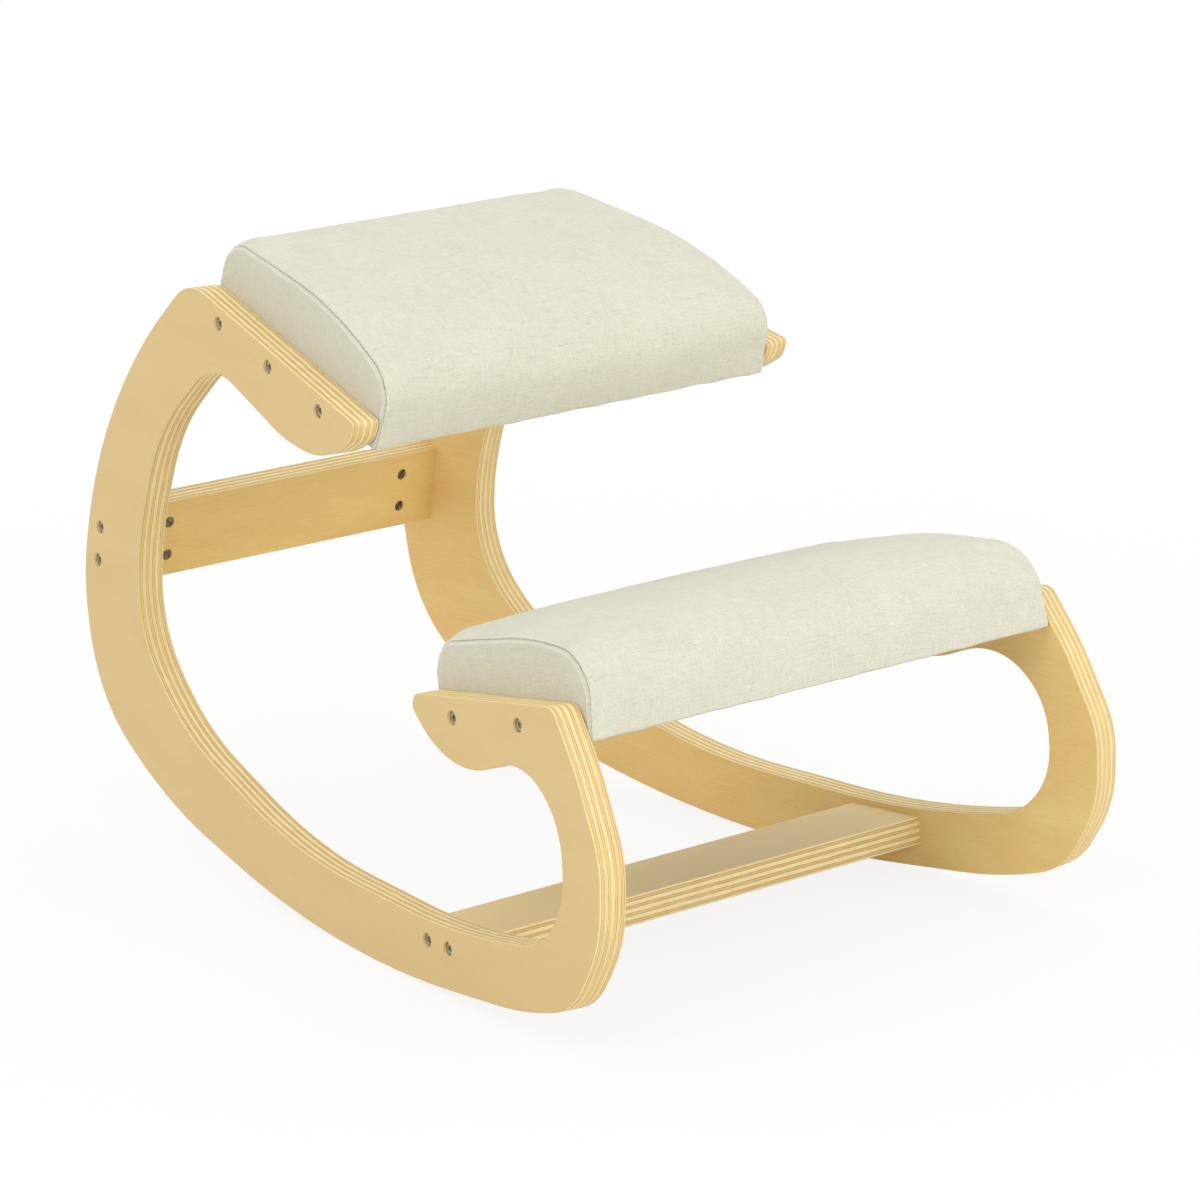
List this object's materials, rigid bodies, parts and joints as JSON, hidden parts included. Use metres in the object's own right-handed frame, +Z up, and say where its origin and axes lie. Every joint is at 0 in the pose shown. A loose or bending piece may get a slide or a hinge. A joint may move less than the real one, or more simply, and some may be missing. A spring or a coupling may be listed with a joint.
{
  "type": "rocking kneeling chair",
  "caption": "Backless rocking kneeling chair: sloping seat cushion and lower knee cushion between two curved plywood rocker frames joined by a crossbar and a foot stretcher.",
  "frame": {"origin": "on the floor, below the middle of the chair's bounding box", "axes": "+Z up, the sitter faces -Y, +X to the sitter's left"},
  "size_m": [0.535, 0.759, 0.5256],
  "materials": {
    "plywood": "clear matt lacquer over birch plywood",
    "cover_linen": "cream linen-look plain weave",
    "cushion_foam": "open-cell upholstery foam",
    "under_cloth": "black non-woven under cloth",
    "zinc_steel": "bright zinc plate"
  },
  "bodies": {
    "root": {"left_side_frame": "plywood", "right_side_frame": "plywood", "rear_crossbar": "plywood", "foot_stretcher": "plywood", "seat_board": "plywood", "knee_board": "plywood", "seat_foam": "cushion_foam", "seat_cover": "cover_linen", "seat_under_cloth": "under_cloth", "seat_staples": "zinc_steel", "knee_foam": "cushion_foam", "knee_cover": "cover_linen", "knee_under_cloth": "under_cloth", "knee_staples": "zinc_steel", "seat_bolts_left": "zinc_steel", "seat_barrel_nuts_left": "zinc_steel", "seat_bolts_right": "zinc_steel", "seat_barrel_nuts_right": "zinc_steel", "knee_bolts_left": "zinc_steel", "knee_barrel_nuts_left": "zinc_steel", "knee_bolts_right": "zinc_steel", "knee_barrel_nuts_right": "zinc_steel", "crossbar_bolts_left": "zinc_steel", "crossbar_barrel_nuts_left": "zinc_steel", "crossbar_bolts_right": "zinc_steel", "crossbar_barrel_nuts_right": "zinc_steel", "stretcher_bolts_left": "zinc_steel", "stretcher_barrel_nuts_left": "zinc_steel", "stretcher_bolts_right": "zinc_steel", "stretcher_barrel_nuts_right": "zinc_steel"}
  },
  "joints": []
}
